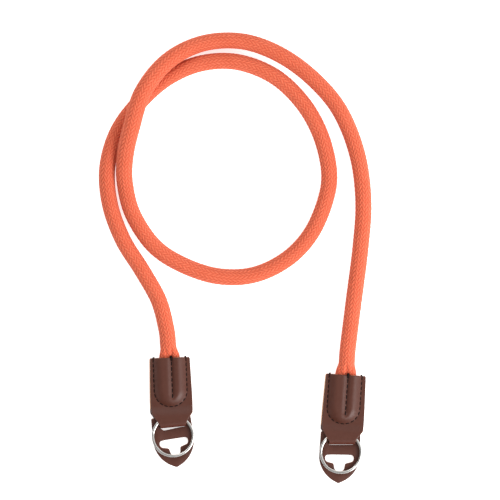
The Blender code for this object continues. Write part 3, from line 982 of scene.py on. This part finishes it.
def thread(points, normals, radius):
    """A two-ply thread along the points: (vertices, faces)."""
    points = np.asarray(points)
    tangent = np.gradient(points, axis=0)
    tangent /= np.linalg.norm(tangent, axis=1, keepdims=True)
    aside = np.cross(tangent, normals)
    aside /= np.linalg.norm(aside, axis=1, keepdims=True)
    up = np.cross(aside, tangent)
    angles = 2 * pi * np.arange(THREAD_SIDES) / THREAD_SIDES
    rings = []
    for i, point in enumerate(points):
        turn = THREAD_TWIST * i / (len(points) - 1)
        reach = radius * (1 + PLY_SHARE * np.cos(2 * (angles - turn)))[:, None]
        round_point = np.cos(angles)[:, None] * aside[i] + np.sin(angles)[:, None] * up[i]
        rings.append(point + reach * round_point)
    return np.concatenate(rings), lofted_faces(len(points), THREAD_SIDES)


def seam_place(distance):
    """(x, down) on the U-shaped seam, at a distance along it from its left end."""
    past_side = distance - POCKET_ROUND
    if past_side < 0:
        return -POCKET_HALF_WIDTH, distance
    if past_side > U_ARC:
        return POCKET_HALF_WIDTH, POCKET_ROUND + U_ARC - past_side
    angle = past_side / POCKET_HALF_WIDTH
    return -POCKET_HALF_WIDTH * cos(angle), POCKET_ROUND + POCKET_HALF_WIDTH * sin(angle)


def stitch(place_at, start, end, groove, layer):
    points, normals = [], []
    for t in np.linspace(0, 1, STITCH_STEPS):
        x, down = place_at(start + (end - start) * t)
        lift = STITCH_ARCHES * sin(pi * t) ** 0.5 - STITCH_SINKS
        point, normal = skin_point(x, down, groove, layer, lift)
        points.append(point)
        normals.append(normal)
    return thread(points, normals, THREAD_RADIUS)


def stitch_row(place_at, start, end, pitch, lead, groove, layer):
    """Stitches of about the given pitch, each with the lead left free at both its ends."""
    count = round((end - start) / pitch)
    pitch = (end - start) / count
    starts = [start + i * pitch for i in range(count)]
    return [stitch(place_at, s + lead, s + pitch - lead, groove, layer) for s in starts]


def mouth_wrap(x, groove, layer, radius):
    """Thread that passes over the mouth's edge of one layer of leather."""
    outside, normal = skin_point(x, 0.0, groove, layer, 0.0)
    path = [outside + MM * (height * normal - down * Y_AXIS) for down, height in MOUTH_WRAP_MM]
    facing = np.cross((1e-6, 1.0, 0.0), np.cross(normal, Y_AXIS))
    return thread(path, np.tile(facing, (len(path), 1)), radius)


def make_stitches(side, end):
    groove = end["groove_shift"]
    seam_length = 2 * POCKET_ROUND + U_ARC
    seam_pitch = seam_length / round(seam_length / SEAM_PITCH)
    lead = 0.5 * (1 - STITCH_SHARE) * seam_pitch
    wraps = ((-POCKET_HALF_WIDTH, WRAP_RADIUS), (POCKET_HALF_WIDTH, WRAP_RADIUS), (groove, KNOT_RADIUS))

    def groove_place(distance):
        return groove, distance

    parts = []
    for layer in (1, -1):
        parts += stitch_row(seam_place, 0.0, seam_length, SEAM_PITCH, lead, groove, layer)
        parts += stitch_row(groove_place, *GROOVE_SEAM, GROOVE_PITCH, lead, groove, layer)
    parts += [mouth_wrap(x, groove, layer, radius) for x, radius in wraps for layer in (1, -1)]
    points, faces = [], []
    for part_points, part_faces in parts:
        offset = sum(map(len, points))
        points.append(part_points)
        faces += [[v + offset for v in face] for face in part_faces]
    points = placed(end_frame(end), np.concatenate(points))
    mesh = outward_mesh(f"stitches_{side}", points, faces, [THREAD])
    add_piece(f"stitches_{side}", mesh, "strap", "tab_leather")


# Guards


def guard_outline():
    centre = GUARD_HALF_WIDTH - GUARD_SIDE_RADIUS
    last_angle = np.arccos((GUARD_TIP_HALF_WIDTH - centre) / GUARD_SIDE_RADIUS)
    right = [
        (GUARD_TOP_HALF_WIDTH - GUARD_TOP_CORNER, GUARD_TOP),
        (GUARD_TOP_HALF_WIDTH, GUARD_TOP - GUARD_TOP_CORNER),
    ]
    for step in range(GUARD_SIDE_STEPS + 1):
        angle = last_angle * step / GUARD_SIDE_STEPS
        x = centre + GUARD_SIDE_RADIUS * cos(angle)
        right.append((x, GUARD_SHOULDER - GUARD_SIDE_RADIUS * sin(angle)))
    right.append((0.5 * GUARD_TIP_HALF_WIDTH, GUARD_TIP + GUARD_TIP_ROUND))
    return right + [(0.0, GUARD_TIP)] + [(-x, y) for x, y in reversed(right)]


def slot_outline(side):
    corners = [
        (x * MM - copysign(SLOT_SNUG, x), y * MM + SLOT_FOOT_SNUG)
        for x, y in SLOTS_MM[side]
    ]
    top = [(corners[-1][0], SLOT_TOP), (corners[0][0], SLOT_TOP)]
    return cut_corners(corners + top, times=1, closed=True)


def t_outline():
    right = [(x * MM, y * MM - T_HOLE_CENTRE) for x, y in T_HOLE_MM]
    whole = cut_corners(right + [(-x, y) for x, y in reversed(right[1:-1])], closed=True)
    turn = radians(T_HOLE_TURN_DEG)
    turned = [(x * cos(turn) - y * sin(turn), x * sin(turn) + y * cos(turn)) for x, y in whole]
    return [(x, y + T_HOLE_CENTRE) for x, y in turned]


def make_guard(side, end):
    shape = bmesh.new()
    edges = []
    for outline in (guard_outline(), slot_outline(side), t_outline()):
        corners = [shape.verts.new((x, y, 0.0)) for x, y in outline]
        edges += [shape.edges.new(pair) for pair in zip(corners, corners[1:] + corners[:1])]
    bmesh.ops.triangle_fill(shape, edges=edges, use_beauty=True, normal=(0, 0, 1))
    grown = bmesh.ops.extrude_face_region(shape, geom=shape.faces[:])
    lifted = [v for v in grown["geom"] if isinstance(v, bmesh.types.BMVert)]
    bmesh.ops.translate(shape, verts=lifted, vec=(0, 0, GUARD_THICKNESS))
    bmesh.ops.recalc_face_normals(shape, faces=shape.faces)
    for face in shape.faces:
        face.material_index = 0 if abs(face.normal.z) > 0.5 else 1
    rim = [e for e in shape.edges if len({f.material_index for f in e.link_faces}) == 2]
    rounding = {"offset": GUARD_RIM_ROUND, "segments": 3, "profile": 0.5, "material": 0}
    bmesh.ops.bevel(shape, geom=rim, affect="EDGES", **rounding)
    mesh = bpy.data.meshes.new(f"guard_{side}")
    shape.to_mesh(mesh)
    shape.free()
    mesh.transform(guard_frame(end))
    mesh.materials.append(GUARD_LEATHER)
    mesh.materials.append(RAW_EDGE)
    mesh.shade_smooth()
    mesh.set_sharp_from_angle(angle=radians(GUARD_SHARP_DEG))
    add_piece(f"guard_{side}", mesh, "strap", "guard_leather", f"leather_guard_{side}")


# Rings


def make_ring(side, end):
    angles = 2 * pi * np.arange(WIRE_SIDES) / WIRE_SIDES
    inwards = RING_WIDTH / 2 * (np.cos(angles) - 1)
    upwards = RING_WIRE / 2 * np.sin(angles)
    low_end = 360.0 - RING_SLANT_DEG
    last = 720.0 - RING_SLANT_DEG - RING_END_GAP_DEG
    stations = np.linspace(RING_END_GAP_DEG, last, int(last / RING_STEP_DEG))
    pitch = RING_WIRE + RING_TURN_GAP
    rings = []
    for i, station in enumerate(stations):
        middle = pitch * (smoothstep(low_end, low_end + RING_SLANT_DEG, station) - 0.5)
        angle = radians(station + end["ring_split"])
        share = WIRE_END_SHARE if i in (0, len(stations) - 1) else 1.0
        radius = RING_RADIUS - RING_WIDTH / 2 + share * (RING_WIDTH / 2 + inwards)
        up = middle + share * upwards
        rings.append(np.stack([radius * cos(angle), radius * sin(angle), up], axis=1))
    lift = GUARD_THICKNESS + GAP + RING_HEIGHT / 2
    matrix = guard_frame(end) @ Matrix.Translation((*end["ring_centre"], lift))
    faces = lofted_faces(len(stations), WIRE_SIDES)
    mesh = outward_mesh(f"ring_{side}", placed(matrix, np.concatenate(rings)), faces, [STEEL])
    mesh.set_sharp_from_angle(angle=radians(RING_SHARP_DEG))
    add_piece(f"ring_{side}", mesh, f"ring_{side}", "ring_steel", f"split_ring_{side}")


# Studio


def make_floor():
    place = (*VIEW_CENTRE, -FLOOR_DROP)
    bpy.ops.mesh.primitive_plane_add(size=FLOOR_SIZE, location=place)
    floor = bpy.context.object
    floor.name = "floor"
    made, tree, shader = new_material("pale_floor")
    looks = {
        "Base Color": (0.92, 0.92, 0.92, 1.0),
        "Roughness": 0.9,
        "Specular IOR Level": 0.1,
        "Emission Color": (1.0, 1.0, 1.0, 1.0),
        "Emission Strength": FLOOR_GLOW,
    }
    connect(tree, shader, looks)
    floor.data.materials.append(made)


def make_light(name, place, size, power):
    data = bpy.data.lights.new(name, "AREA")
    data.shape = "DISK"
    data.size = size
    data.energy = power
    made = bpy.data.objects.new(name, data)
    bpy.context.scene.collection.objects.link(made)
    made.location = place
    aim = Vector((*VIEW_CENTRE, 0.0)) - Vector(place)
    made.rotation_euler = aim.to_track_quat("-Z", "Y").to_euler()


def make_sky():
    """A soft tent of light all round, dark overhead where the camera is."""
    world = bpy.data.worlds.new("studio")
    world.use_nodes = True
    tree = world.node_tree
    direction = node(tree, "ShaderNodeTexCoord").outputs["Generated"]
    height = node(tree, "ShaderNodeSeparateXYZ", {0: direction}).outputs[2]
    ramp = node(tree, "ShaderNodeValToRGB", {0: height})
    stops = ramp.color_ramp.elements
    for place, _ in SKY_LEVELS[1:-1]:
        stops.new(place)
    for stop, (place, level) in zip(stops, SKY_LEVELS):
        stop.position = place
        stop.color = (level, level, level, 1.0)
    vectors = {0: direction, 1: SKY_BRIGHTER_TOWARDS}
    towards = node(tree, "ShaderNodeVectorMath", vectors, operation="DOT_PRODUCT").outputs["Value"]
    strength = scaled(tree, maths(tree, "ADD", 1.0, towards), SKY_STRENGTH)
    connect(tree, tree.nodes["Background"], {"Color": ramp.outputs[0], "Strength": strength})
    bpy.context.scene.world = world


def make_camera():
    camera = bpy.data.cameras.new("camera")
    camera.lens = VIEW_LENS
    camera.sensor_width = SENSOR
    made = bpy.data.objects.new("camera", camera)
    bpy.context.scene.collection.objects.link(made)
    made.location = (*VIEW_CENTRE, ROPE_RADIUS + VIEW_WIDTH * VIEW_LENS / SENSOR)
    bpy.context.scene.camera = made


def make_studio():
    make_sky()
    for light in LIGHTS:
        make_light(*light)
    make_camera()
    make_floor()
    bpy.context.scene.view_settings.view_transform = "Standard"


make_studio()
make_braid()
for side, end in ENDS.items():
    make_tab(side, end)
    make_stitches(side, end)
    make_guard(side, end)
    make_ring(side, end)
